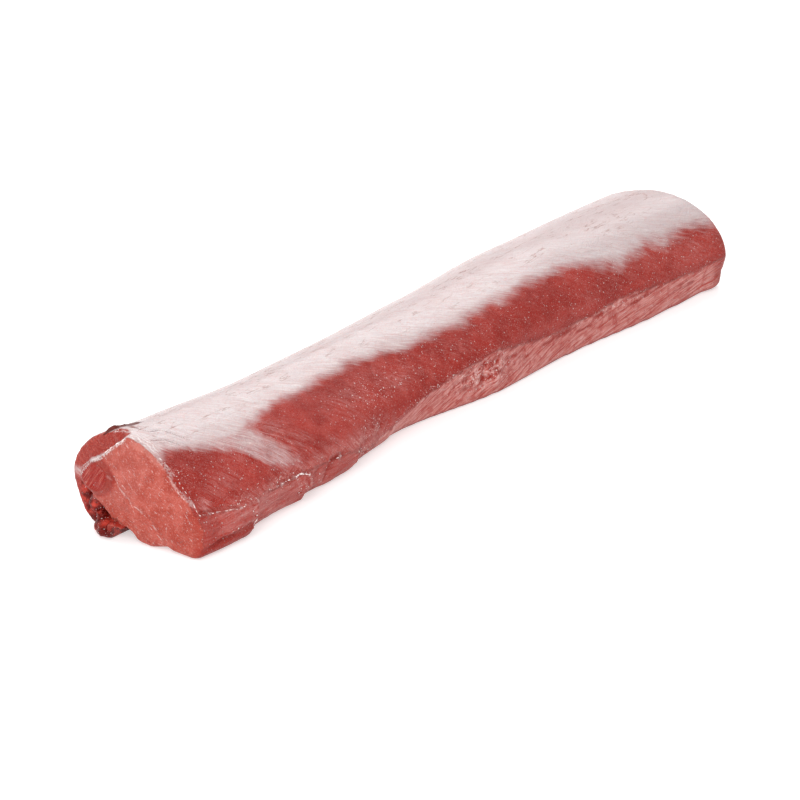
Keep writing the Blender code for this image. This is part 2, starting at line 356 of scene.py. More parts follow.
HAZE_AND_SHEEN_SPOTS = (
    Spot(26, 67, 14, 8, 0.45), Spot(72, 54, 26, 9, 0.45), Spot(90, 66, 20, 10, 0.5),
    Spot(60, 86, 50, 7, 0.35), Spot(28, 88, 14, 7, 0.5), Spot(150, 58, 24, 14, 0.4),
    Spot(205, 62, 22, 12, 0.35), Spot(430, 68, 60, 9, 0.2), Spot(120, 80, 30, 9, 0.30),
    Spot(300, 84, 22, 8, 0.15), Spot(490, 72, 30, 12, 0.3), Spot(250, 60, 26, 9, 0.2),
    Spot(4, -76, 7, 9, 0.4), Spot(8, 75, 6, 6, 0.9), Spot(180, 46, 26, 8, 0.3),
    Spot(84, 50, 14, 10, 0.7), Spot(146, 90, 9, 9, 0.8), Spot(62, 98, 22, 6, 0.65),
)
# Patches of deeper red; those low on the foot under the flaps are painted shadow.
SHADOW_AND_DEEP_RED_SPOTS = (
    Spot(13, 60, 12, 8, 0.7), Spot(6, 50, 6, 12, 0.95), Spot(4, 66, 5, 8, 0.8), Spot(2, 84, 5, 10, 0.9),
    Spot(24, 47, 20, 13, 0.9), Spot(5, 94, 7, 16, 0.9), Spot(130, 42, 30, 12, 0.35),
    Spot(320, 66, 70, 12, 0.75), Spot(190, 84, 26, 8, 0.7), Spot(255, 52, 30, 12, 0.4),
    Spot(40, 104, 10, 9, 0.9), Spot(95, 104, 12, 9, 0.8), Spot(18, 106, 20, 7, 0.9),
    Spot(400, 72, 44, 10, 0.8), Spot(513, 98, 9, 20, 1.0), Spot(11, -12, 2.4, 7, 2.0),
    Spot(130, 104, 14, 8, 0.7), Spot(88, 101, 8, 6, 1.0), Spot(172, 83, 22, 8, 1.0),
)
GLINTS = (
    Spot(4, 44, 4, 9, 0.8), Spot(33, 82, 18, 4, 0.9), Spot(40, 92, 3, 10, 1.0),
    Spot(26, 99, 12, 3, 0.9), Spot(90, 90, 8, 5, 0.8), Spot(8, 50, 8, 12, 0.7),
    Spot(45, 55, 40, 22, 0.35), Spot(165, 82, 14, 9, 1.0), Spot(182, 58, 40, 16, 0.9),
    Spot(235, 60, 30, 16, 0.5), Spot(272, 91, 26, 11, 1.3), Spot(300, 60, 60, 20, 0.3),
    Spot(380, 70, 60, 24, 0.35), Spot(470, 74, 50, 18, 0.4), Spot(60, 84, 60, 10, 0.5),
    Spot(395, 88, 40, 6, 0.7), Spot(166, 85, 15, 6, 1.6), Spot(89, 97, 7, 8, 1.2),
    Spot(76, 84, 22, 4, 1.2),
)
# Where the trimmed meat is torn.
TEARS = (
    Spot(272, 92, 26, 12, 1.1), Spot(172, 90, 26, 9, 1.0), Spot(312, 92, 14, 8, 0.5),
    Spot(108, 98, 20, 9, 0.8), Spot(70, 99, 26, 6, 0.7), Spot(8, 92, 6, 9, 0.9),
    Spot(400, 90, 30, 5, 0.5), Spot(91, 98, 8, 9, 1.2),
)


def strongest(spots: tuple, at: Places) -> np.ndarray:
    """The strongest of these patches at each place."""
    return np.maximum.reduce([spot.over(at) for spot in spots])


def tatters(at: Places) -> np.ndarray:
    """The ups and downs of torn meat at each place."""
    return layered_noise(at.stack() / (8, 6, 4.5), 91, 3)


@dataclass(frozen=True)
class Depths:
    """How far each kind of relief rises or sinks, in millimetres."""

    wrinkles: float = 0.26
    waves: float = 0.30
    strip_grooves: float = 0.40
    tears: float = 2.0
    foot_folds: float = 0.9
    face_bumps: float = 0.45
    side_bumps: float = 0.55
    wet_lumps: float = 1.5
    edges: float = 0.5
    lobe: float = 1.9
    lobe_grooves: float = 0.75
    lobe_ridge: float = 1.0
    face_step: float = 0.7
    face_crown: float = 1.0
    rim_band: float = 0.5
    crack_lip: float = 0.35
    crack: float = 0.7
    gap: float = 4.0
    ledge: float = 2.4
    flap_lip: float = 0.8
    flap_fold: float = 1.8
    silver_edge: float = 0.25


@dataclass
class Loin:
    """The loin's visible surface: the solid's shape, made fine, carved and painted."""

    marks: Landmarks = field(default_factory=Landmarks)
    depths: Depths = field(default_factory=Depths)
    grain_size: float = 1.6 * MM
    fine_length: float = 30.0
    smoothings: int = 6

    def from_solid(self) -> bpy.types.Object:
        """A fine closed copy of the node's solid."""
        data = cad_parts[NODE].data.copy()
        mesh = bmesh.new()
        mesh.from_mesh(data)
        bmesh.ops.remove_doubles(mesh, verts=mesh.verts, dist=1e-5)
        mesh.to_mesh(data)
        mesh.free()
        loin = add_object("venison", data)
        remesh = loin.modifiers.new("remesh", "REMESH")
        remesh.mode = "VOXEL"
        remesh.voxel_size = self.grain_size
        fine = shaped(loin)
        loin.modifiers.remove(remesh)
        loin.data = fine
        fine.name = "venison"
        fine.materials.clear()
        return loin

    def relax(self, loin: bpy.types.Object, rounds: int) -> None:
        """Round off the solid's facets."""
        mesh = bmesh.new()
        mesh.from_mesh(loin.data)
        for _ in range(rounds):
            bmesh.ops.smooth_vert(
                mesh, verts=mesh.verts, factor=0.5, use_axis_x=True, use_axis_y=True, use_axis_z=True
            )
        mesh.to_mesh(loin.data)
        mesh.free()

    def refine(self, loin: bpy.types.Object) -> None:
        """Halve the faces of the thick end, where the most detail is."""
        mesh = bmesh.new()
        mesh.from_mesh(loin.data)
        limit = (Places.THICK_END + self.fine_length) * MM
        edges = [e for e in mesh.edges if max(v.co.x for v in e.verts) < limit]
        bmesh.ops.subdivide_edges(mesh, edges=edges, cuts=1, use_grid_fill=True)
        bmesh.ops.triangulate(mesh, faces=[f for f in mesh.faces if len(f.verts) > 4])
        mesh.to_mesh(loin.data)
        mesh.free()

    @staticmethod
    def read(loin: bpy.types.Object) -> tuple[np.ndarray, np.ndarray]:
        """The mesh's points and normals."""
        count = len(loin.data.vertices)
        points = np.empty(count * 3)
        normals = np.empty(count * 3)
        loin.data.vertices.foreach_get("co", points)
        loin.data.vertices.foreach_get("normal", normals)
        return points.reshape(-1, 3), normals.reshape(-1, 3)

    def silver(self, at: Places) -> np.ndarray:
        """How far inside the silverskin's edge each place is, in millimetres."""
        marks = self.marks
        top = np.interp(at.along, *zip(*marks.pale_edge)) - at.turn
        tongue = np.interp(at.along, *zip(*marks.tongue_foot)) - at.turn
        end = np.interp(at.turn, *zip(*marks.tongue_end)) - at.along
        tongue = np.minimum(tongue * 0.65, end * 0.7 + 2) * (at.along > 25) - 30 * (at.along <= 25)
        front = np.maximum(top * 0.65, np.minimum(tongue, 0.9 - 0.05 * (at.turn - 40)))
        back = (at.turn + 72 + 36 * ease(at.along, 9, 16)) * 0.65
        return np.clip(np.minimum(front, back), -30, 30)

    def cut_faces(self, at: Places) -> tuple[np.ndarray, np.ndarray]:
        """How far each place is on the main muscle's cut faces, and on the side muscle's."""
        outward = ease(-at.normal[:, 0], 0.40, 0.72)
        main = outward * ease(-at.along, -3.6, -2.4)
        side = ease(-at.normal[:, 0], 0.3, 0.6) * ease(at.along, 2.4, 3.6) * ease(-at.along, -8.5, -7.5)
        side *= ease(at.up, 30, 34)
        far = ease(at.normal[:, 0], 0.45, 0.8) * ease(at.along, 511, 514)
        return np.maximum(main, far), side

    def hollow(self, at: Places, face: np.ndarray) -> np.ndarray:
        """How far each place is in the torn wet hollow or on its lumps."""
        marks = self.marks
        wall = np.interp(at.up, *zip(*marks.flap_wall))
        inside = (at.front > wall - 1.5) & (at.front < 2) & (at.up < 31) & (at.up > 0.6)
        wet = inside * ease(at.along, 3.8, 5.4) * ease(-at.along, -38, -34)
        for along, front, up, a, b, c in marks.lumps:
            reach = np.sqrt(
                ((at.along - along) / a) ** 2 + ((at.front - front) / b) ** 2 + ((at.up - up) / c) ** 2
            )
            wet = np.maximum(wet, ease(-reach, -1.25, -1.1) * (at.front < -6) * ease(-at.up, -30, -24))
        main_edge = np.interp(at.up, *zip(*marks.main_edge))
        beyond = ease(at.front - main_edge, -1.0, 1.0) * face
        return wet * (1 - beyond)

    def white_edges(self, at: Places) -> np.ndarray:
        """How far each place is on a white edge of silverskin, along the flaps partly a painted highlight."""
        marks = self.marks
        spots = at.stack()
        flat = at.flat()
        near = (at.along < 6.0) & (at.along > -6)
        front_rim = (at.along < 1.0) & (at.along > -6)
        flap_broken = ease(lattice_noise(spots / 3.2, 59), 0.0, 0.25)
        step_broken = ease(lattice_noise(spots / 4.0, 67), -0.1, 0.2)
        edge = np.maximum.reduce([
            # White along the flaps' rims, partly painted highlight.
            0.55 * ease(-nearest_line(spots, marks.flap_lines), -1.2, -0.3) * flap_broken,
            0.40 * ease(-line_distance(spots, marks.rim_film), -1.1, -0.4),
            ease(-line_distance(flat, marks.seam), -0.5, -0.1) * front_rim,
            0.30 * ease(-line_distance(flat, marks.rim_dots), -1.0, -0.3) * front_rim,
            0.35 * ease(-line_distance(flat, marks.face_step), -0.8, -0.2) * near * step_broken,
        ])
        return edge * (at.up > 0.8)

    def trimmed(self, at: Places, ridge_up: np.ndarray) -> np.ndarray:
        """How far each place is on meat that was trimmed, below the ridge's height there."""
        ragged = 2.6 * layered_noise(at.stack() / (14, 6, 5), 101, 3) * ease(at.along, 170, 210)
        strip = ease(ridge_up + ragged - at.up, -0.8, 0.8) * ease(at.along, 160, 190) * (at.front > 8)
        under = ease(-at.normal[:, 2], 0.6, 0.9) * (at.up < 4)
        foot = ease(-np.abs(at.front - 42), -14, -8) * ease(26 - at.up, -1, 4) * ease(-at.along, -195, -170)
        return np.maximum.reduce([strip, under, 0.35 * foot])

    def glints(self, at: Places, wet: np.ndarray, above: np.ndarray) -> np.ndarray:
        """How thickly painted glints, pale fibres and torn bits lie at each place."""
        ridge = ease(-line_distance(at.flat(), self.marks.lobe_ridge), -3, -1)
        crest = ease(-np.abs(above - 1.0), -4.5, -1.0) * ease(at.along, 140, 160)
        crest = crest * ease(-at.along, -330, -270)
        return np.maximum.reduce([
            strongest(GLINTS, at),
            0.9 * ridge * (at.along < 4),
            0.70 * wet,
            0.85 * crest * (at.front > 8),
            strongest(TEARS, at) * ease(tatters(at), 0.15, 0.45),
        ])

    def shadow_and_deep_red(
        self, at: Places, face: np.ndarray, lobe_reach: np.ndarray, above: np.ndarray, strip: np.ndarray
    ) -> np.ndarray:
        """How deep the red is at each place, partly painted shadow. Over 1 it is a crack.

        Args:
            at: Where the points are.
            face: How far each is on the thick end's cut face.
            lobe_reach: How far each is from the lobe's middle, where its edge is at 1.
            above: The height over the ridge, in millimetres.
            strip: How far each is on trimmed meat.

        Returns:
            One value for each point.
        """
        marks = self.marks
        spots = at.stack()
        band = ease(above, -0.2, 0.8) * ease(-above, -7.0, -1.5) * ease(at.along, 165, 195) * (at.front > 8)
        cuts = ease(layered_noise(spots / (22, 9, 2.2), 103, 2), 0.12, 0.34)
        cuts = cuts * ease(-np.abs(above + 4.5), -6, -2)
        tears = strongest(TEARS, at) * (at.normal[:, 2] > -0.6)
        pits = face * ease(lattice_noise(spots / (3, 3.5, 2.5), 97), 0.05, 0.3) * ease(-at.up, -9, -2)
        beside = spots - np.array([2.4, 0.0, 0.8])
        return np.maximum.reduce([
            strongest(SHADOW_AND_DEEP_RED_SPOTS, at),
            0.85 * band,
            1.2 * cuts * strip * ease(at.along, 230, 280),
            # Painted shadow: along the table, in the torn meat's hollows, round the raised lobe, in the
            # face's pits, in the ledge, and under and beside the flaps.
            0.9 * ease(-at.up, -2.6, -0.8) * (at.front > 12) * (at.along > 3),
            1.1 * tears * ease(-tatters(at), 0.0, 0.3),
            0.9 * face * ease(-np.abs(lobe_reach - 1.12), -0.22, -0.04) * (at.front > -34),
            1.1 * pits * ease(-np.abs(at.front - 8), -18, -10),
            1.25 * ease(-line_distance(spots, marks.foot_ledge), -2.4, -0.5),
            (at.along < 44) * ease(8.5 - at.up, -0.5, 1.0) * ease(at.front, 34, 40),
            1.15 * ease(-nearest_line(beside, marks.flap_lines[1:]), -2.4, -0.6),
            1.8 * ease(-nearest_line(spots, marks.cracks), -0.8, -0.2),
        ])

    def masks(self, at: Places) -> dict[Mask, np.ndarray]:
        """Work out every mask for these places.

        Args:
            at: Where the points are.

        Returns:
            One array for each mask.
        """
        face, side = self.cut_faces(at)
        near_face = face * (at.along < 50)
        wet = self.hollow(at, near_face)
        ridge_up = np.interp(at.along, *zip(*FOOT_TOP))
        above = at.up - ridge_up
        strip = self.trimmed(at, ridge_up)
        lobe_reach = np.hypot((at.front + 27) / 10.5, (at.up - 34.5) / 9.5)
        rim_haze = 0.6 * near_face * ease(-line_distance(at.flat(), self.marks.rim_band), -2.4, -0.6)
        return {
            Mask.SILVER: self.silver(at), Mask.FACE: face, Mask.SIDE: side, Mask.WET: wet, Mask.STRIP: strip,
            Mask.EDGE: self.white_edges(at), Mask.HAZE: np.maximum(strongest(HAZE_AND_SHEEN_SPOTS, at), rim_haze),
            Mask.SHADE: self.shadow_and_deep_red(at, near_face, lobe_reach, above, strip),
            Mask.LOBE: near_face * ease(-lobe_reach, -1.15, -0.75), Mask.GLINT: self.glints(at, wet, above),
        }

    def flank_relief(self, at: Places, mask: dict, fibre: np.ndarray) -> np.ndarray:
        """How far wrinkles, grooves and torn meat raise the flanks, in millimetres."""
        spots, depth = at.stack(), self.depths
        cut = np.maximum(mask[Mask.FACE], mask[Mask.SIDE])
        plain = (1 - cut) * (1 - mask[Mask.WET])
        silver = ease(mask[Mask.SILVER], -3, 5) * plain
        foot = at.low() * (at.front > 8) * ease(-at.along, -190, -160) * ease(at.along, 6, 14)
        move = depth.wrinkles * silver * layered_noise(fibre / (34, 5.0, 30), 11, 3)
        move += depth.waves * plain * (1 - silver) * layered_noise(fibre / (40, 9.0, 30), 23, 3)
        move += depth.strip_grooves * mask[Mask.STRIP] * plain * layered_noise(fibre / (26, 3.4, 30), 31, 2)
        move += depth.tears * strongest(TEARS, at) * plain * tatters(at)
        move += depth.foot_folds * foot * plain * layered_noise(spots / (12, 6, 4.5), 93, 3)
        # Silverskin has more substance than the red flank, so its edge stands a little proud.
        return move + depth.silver_edge * silver

    def face_relief(self, at: Places, mask: dict, fibre: np.ndarray) -> np.ndarray:
        """How far bumps, lobe and step raise the cut faces, and lumps the hollow, in millimetres."""
        spots, flat, depth, marks = at.stack(), at.flat(), self.depths, self.marks
        near = np.maximum(mask[Mask.FACE], mask[Mask.SIDE]) * (at.along < 50)
        move = depth.face_bumps * mask[Mask.FACE] * layered_noise(spots / (8, 6, 5), 41, 3)
        move += depth.side_bumps * mask[Mask.SIDE] * layered_noise(spots / (6, 4, 4), 43, 3)
        move += depth.wet_lumps * mask[Mask.WET] * layered_noise(spots / (6.5, 5.0, 5.0), 47, 3)
        move += depth.edges * mask[Mask.EDGE] * (1 + layered_noise(spots / (3, 3, 3), 53, 2))
        grooves = depth.lobe_grooves * layered_noise(fibre / (14, 2.4, 20), 61, 2)
        move += mask[Mask.LOBE] * (depth.lobe + grooves)
        move -= near * depth.lobe_ridge * ease(-line_distance(flat, marks.lobe_ridge), -1.6, -0.3)
        move -= near * depth.face_step * ease(-line_distance(flat, marks.face_step), -1.8, -0.3)
        move += near * depth.face_crown * ease(-np.hypot((at.front - 12) / 30, (at.up - 26) / 26), -1.0, -0.1)
        return move - near * depth.rim_band * ease(-line_distance(flat, marks.rim_band), -2.2, -0.6)

    def line_relief(self, at: Places) -> np.ndarray:
        """How far the surface moves along cracks, gaps and flaps, in millimetres."""
        spots, depth, marks = at.stack(), self.depths, self.marks
        crack = nearest_line(spots, marks.cracks)
        move = depth.crack_lip * ease(-crack, -3.0, -1.2) - depth.crack * ease(-crack, -1.2, -0.2)
        move -= depth.gap * ease(-line_distance(spots, marks.lobe_gap), -4.0, -0.8)
        move -= depth.ledge * ease(-line_distance(spots, marks.foot_ledge), -2.6, -0.4)
        beside = spots - np.array([2.0, 0.0, 1.2])
        for flap_line in marks.flap_lines:
            move += depth.flap_lip * ease(-line_distance(spots, flap_line), -2.4, -0.3)
            move -= depth.flap_fold * ease(-line_distance(beside, flap_line), -2.0, -0.4)
        return move

    def carve(self, loin: bpy.types.Object) -> None:
        """Move the surface in and out for its wrinkles, fibres, cracks and torn lumps."""
        points, normals = self.read(loin)
        at = Places.of(points, normals)
        mask = self.masks(at)
        fibre = at.fibre(mask[Mask.FACE], mask[Mask.LOBE])
        move = self.flank_relief(at, mask, fibre) + self.face_relief(at, mask, fibre) + self.line_relief(at)
        move *= ease(at.up, 0.2, 3.0)
        points = points + normals * (move * MM)[:, None]
        # The main lobe's under edge curls up off the table at the thick end.
        curl = np.interp(at.front, *zip(*self.marks.under_edge)) * ease(-at.along, -15, -5) * (at.front > -16)
        points[:, 2] += curl * ease(-at.up, -14, -1) * MM
        points[:, 2] = np.maximum(points[:, 2], 0.0)
        loin.data.vertices.foreach_set("co", points.ravel())
        loin.data.update()

    def paint(self, loin: bpy.types.Object) -> None:
        """Store the masks and the fibres' directions as attributes."""
        points, normals = self.read(loin)
        at = Places.of(points, normals)
        mask = self.masks(at)
        for kind, values in mask.items():
            layer = loin.data.attributes.new(kind.value, "FLOAT", "POINT")
            layer.data.foreach_set("value", values.astype(np.float32))
        for name, rows in (
            ("fibre", at.fibre(mask[Mask.FACE], mask[Mask.LOBE])),
            ("run", at.run(mask[Mask.FACE])),
        ):
            layer = loin.data.attributes.new(name, "FLOAT_VECTOR", "POINT")
            layer.data.foreach_set("vector", rows.astype(np.float32).ravel())

    def build(self) -> bpy.types.Object:
        """Make the loin's surface.

        Returns:
            The object, with its masks as attributes.
        """
        loin = self.from_solid()
        self.relax(loin, self.smoothings)
        self.refine(loin)
        self.relax(loin, 2)
        self.carve(loin)
        self.relax(loin, 1)
        self.paint(loin)
        for face in loin.data.polygons:
            face.use_smooth = True
        LOG.info("%s: %d faces", loin.name, len(loin.data.polygons))
        return loin


# Finishes

Socket = bpy.types.NodeSocket


def colour(red: float, green: float, blue: float) -> tuple:
    """A colour with full cover."""
    return (red, green, blue, 1.0)


@dataclass
class Nodes:
    """Shorthand for adding nodes to one tree."""

    tree: bpy.types.NodeTree

    def add(self, kind: str, inputs: dict | None = None, **settings: object) -> bpy.types.Node:
        """A node of this kind, with these inputs and settings."""
        node = self.tree.nodes.new(kind)
        for name, value in settings.items():
            setattr(node, name, value)
        for key, value in (inputs or {}).items():
            self.feed(node.inputs[key], value)
        return node

    def feed(self, socket: Socket, value: object) -> None:
        """Give an input a link or a plain value."""
        if isinstance(value, Socket):
            self.tree.links.new(value, socket)
        else:
            socket.default_value = value

    def place(self) -> Socket:
        """The place on the piece, in millimetres."""
        return self.scaled(self.add("ShaderNodeTexCoord").outputs["Object"], (1000.0, 1000.0, 1000.0))

    def attribute(self, name: str, vector: bool = False) -> Socket:
        """One of the surface's own attributes."""
        node = self.add("ShaderNodeAttribute", attribute_name=name)
        return node.outputs["Vector" if vector else "Fac"]

    def math(self, operation: str, *values: object, clamp: bool = False) -> Socket:
        """The result of one sum."""
        node = self.add("ShaderNodeMath", operation=operation, use_clamp=clamp)
        for socket, value in zip(node.inputs, values):
            self.feed(socket, value)
        return node.outputs[0]

    def times(self, *values: object) -> Socket:
        """These values multiplied."""
        product = values[0]
        for value in values[1:]:
            product = self.math("MULTIPLY", product, value)
        return product

    def swing(self, value: object, reach: float) -> Socket:
        """A value from 0 to 1 turned into one from minus to plus half this reach."""
        return self.math("MULTIPLY", self.math("SUBTRACT", value, 0.5), reach)

    def scaled(self, vector: object, scale: object) -> Socket:
        """A vector stretched along each axis."""
        return self.add("ShaderNodeVectorMath", {0: vector, 1: scale}, operation="MULTIPLY").outputs[0]

    def noise(self, vector: object, scale: float, detail: float = 3.0, rough: float = 0.55) -> Socket:
        """Noise from 0 to 1 at this vector."""
        inputs = {"Vector": vector, "Scale": scale, "Detail": detail, "Roughness": rough}
        return self.add("ShaderNodeTexNoise", inputs).outputs["Fac"]

    def between(self, value: object, low: float, high: float) -> Socket:
        """A smooth rise from 0 at low to 1 at high."""
        inputs = {"Value": value, "From Min": low, "From Max": high}
        return self.add("ShaderNodeMapRange", inputs, interpolation_type="SMOOTHSTEP").outputs["Result"]

    def mix(self, share: object, first: object, second: object) -> Socket:
        """Two colours mixed."""
        inputs = {"Factor": share, 6: first, 7: second}
        return self.add("ShaderNodeMix", inputs, data_type="RGBA").outputs[2]

    def tint(self, body: object, shade: object, mask: object, strength: float) -> Socket:
        """A colour laid over the body where a mask says, up to this strength."""
        return self.mix(self.math("MULTIPLY", mask, strength), body, shade)

    def surface(self, values: dict, bump: tuple, relief: object) -> None:
        """Join the shader and its bump to the material's output.

        Args:
            values: A link or a plain value for each of the shader's sockets, by name.
            bump: The bump's strength, and its distance in metres.
            relief: The bump's height.
        """
        strength, distance = bump
        fine = self.add("ShaderNodeBump", {"Strength": strength, "Distance": distance, "Height": relief})
        shader = self.add("ShaderNodeBsdfPrincipled", values | {"Normal": fine.outputs[0]})
        self.add("ShaderNodeOutputMaterial", {"Surface": shader.outputs[0]})


def new_material(name: str) -> tuple[bpy.types.Material, Nodes]:
    """An empty material and its nodes."""
    made = bpy.data.materials.new(name)
    made.use_nodes = True
    made.node_tree.nodes.clear()
    return made, Nodes(made.node_tree)


def effect_group(name: str, start: str, sizes: tuple, result: str) -> tuple:
    """A new shader node group that turns a vector and some sizes into one value.

    Args:
        name: The group's name.
        start: The name of its vector input.
        sizes: The names of its number inputs.
        result: The name of its output.

    Returns:
        The group's nodes, its input node and its output node.
    """
    tree = bpy.data.node_groups.new(name, "ShaderNodeTree")
    tree.interface.new_socket(start, in_out="INPUT", socket_type="NodeSocketVector")
    for size in sizes:
        tree.interface.new_socket(size, in_out="INPUT", socket_type="NodeSocketFloat")
    tree.interface.new_socket(result, in_out="OUTPUT", socket_type="NodeSocketFloat")
    nodes = Nodes(tree)
    return nodes, nodes.add("NodeGroupInput"), nodes.add("NodeGroupOutput")


class FibreStreaks:
    """A node group: fine streaks that follow the meat's fibres."""

    NAME = "fibre_streaks"

    @classmethod
    def group(cls) -> bpy.types.NodeTree:
        """The group, built once."""
        if cls.NAME in bpy.data.node_groups:
            return bpy.data.node_groups[cls.NAME]
        nodes, inside, outside = effect_group(cls.NAME, "Fibre", ("Length", "Width"), "Streaks")
        sizes = nodes.add("ShaderNodeCombineXYZ", {
            axis: nodes.math("DIVIDE", 1.0, inside.outputs[name])
            for axis, name in (("X", "Length"), ("Y", "Width"), ("Z", "Width"))
        })
        stretched = nodes.scaled(inside.outputs["Fibre"], sizes.outputs[0])
        nodes.feed(outside.inputs["Streaks"], nodes.noise(stretched, 1.0, 4.0, 0.6))
        return nodes.tree

    @classmethod
    def place(cls, nodes: Nodes, fibre: object, length: float, width: float) -> Socket:
        """Streaks of about this length and width in millimetres, from 0 to 1."""
        inputs = {"Fibre": fibre, "Length": length, "Width": width}
        return nodes.add("ShaderNodeGroup", inputs, node_tree=cls.group()).outputs["Streaks"]


class Specks:
    """A node group: tiny scattered dots, a few of them larger."""

    NAME = "specks"

    @classmethod
    def group(cls) -> bpy.types.NodeTree:
        """The group, built once."""
        if cls.NAME in bpy.data.node_groups:
            return bpy.data.node_groups[cls.NAME]
        nodes, inside, outside = effect_group(cls.NAME, "Place", ("Spacing", "Size"), "Dots")
        scale = nodes.math("DIVIDE", 1.0, inside.outputs["Spacing"])
        vector = inside.outputs["Place"]
        cells = nodes.add("ShaderNodeTexVoronoi", {"Vector": vector, "Scale": scale}, feature="F1")
        luck = nodes.add("ShaderNodeSeparateColor", {0: cells.outputs["Color"]})
        radius = nodes.math("DIVIDE", inside.outputs["Size"], inside.outputs["Spacing"])
        radius = nodes.times(radius, nodes.math("POWER", luck.outputs[0], 3.0))
        dots = nodes.math("SUBTRACT", radius, cells.outputs["Distance"])
        dots = nodes.math("DIVIDE", dots, nodes.math("MAXIMUM", radius, 0.001))
        nodes.feed(outside.inputs["Dots"], nodes.math("MULTIPLY", dots, 3.0, clamp=True))
        return nodes.tree

    @classmethod
    def place(cls, nodes: Nodes, place: object, spacing: float, size: float) -> Socket:
        """Dots this far apart and up to this size, from 0 to 1."""
        inputs = {"Place": place, "Spacing": spacing, "Size": size}
        return nodes.add("ShaderNodeGroup", inputs, node_tree=cls.group()).outputs["Dots"]


@dataclass(frozen=True)
class Grain:
    """The patterns that several of the meat's layers share."""

    place: Socket
    fibre: Socket
    mask: dict
    middle: Socket
    fine: Socket
    long_streaks: Socket
    fine_streaks: Socket
    bands: Socket
    hairs: Socket
    dots: Socket
    torn: Socket

    @classmethod
    def of(cls, nodes: Nodes) -> "Grain":
        """Build the patterns."""
        place = nodes.place()
        fibre = nodes.attribute("fibre", vector=True)
        fine = nodes.noise(place, 0.9, 3.0)
        thread = FibreStreaks.place(nodes, fibre, 34.0, 5.0)
        thread = nodes.math("ABSOLUTE", nodes.math("SUBTRACT", thread, 0.5))
        thread = nodes.times(nodes.between(thread, 0.012, 0.003), nodes.between(fine, 0.45, 0.55))
        hairs = nodes.between(FibreStreaks.place(nodes, fibre, 20.0, 0.9), 0.63, 0.70)
        return cls(
            place=place, fibre=fibre, mask={kind: nodes.attribute(kind.value) for kind in Mask},
            middle=nodes.noise(place, 0.16, 4.0), fine=fine,
            long_streaks=FibreStreaks.place(nodes, fibre, 30.0, 2.2),
            fine_streaks=FibreStreaks.place(nodes, fibre, 12.0, 0.7),
            bands=FibreStreaks.place(nodes, fibre, 26.0, 1.25),
            hairs=nodes.math("MAXIMUM", hairs, thread), dots=Specks.place(nodes, place, 1.5, 0.56),
            torn=nodes.noise(place, 0.42, 4.0, 0.6),
        )


